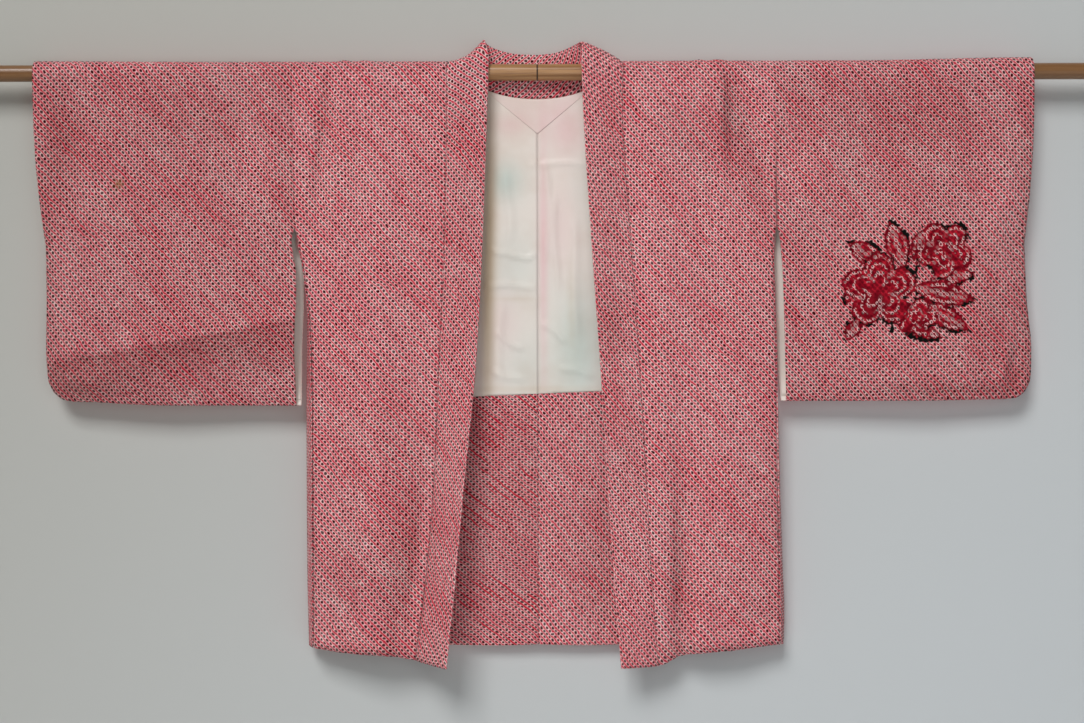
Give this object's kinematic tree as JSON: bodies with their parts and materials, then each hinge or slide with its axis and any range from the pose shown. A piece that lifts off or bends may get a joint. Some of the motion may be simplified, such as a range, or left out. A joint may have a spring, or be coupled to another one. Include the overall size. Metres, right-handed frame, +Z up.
{
  "type": "haori hung on a rod",
  "caption": "Lined Japanese haori jacket in red and pink dotted shibori silk, spread flat on a round wooden rod that runs through both sleeves.",
  "frame": {"origin": "on the rod's axis, in the plane of the centre back seam", "axes": "+X along the rod to the picture's right, which is the wearer's left; -Y to the front; +Z up"},
  "size_m": [1.52, 0.076, 0.8064],
  "materials": {
    "shibori": "silk with a raised tie-dyed dot pattern, matt with a slight silk lustre",
    "lining": "smooth thin off-white silk with a soft sheen",
    "wood": "clear varnished light brown wood"
  },
  "bodies": {
    "root": {"body_left": "shibori", "body_right": "shibori", "sleeve_left": "shibori", "sleeve_right": "shibori", "gusset_left": "shibori", "gusset_right": "shibori", "hem_facing_left": "shibori", "hem_facing_right": "shibori", "collar": "shibori", "sleeve_lining_left": "lining", "sleeve_lining_right": "lining", "back_lining_left": "lining", "back_lining_right": "lining", "neck_patch": "lining", "rod": "wood"}
  },
  "joints": []
}
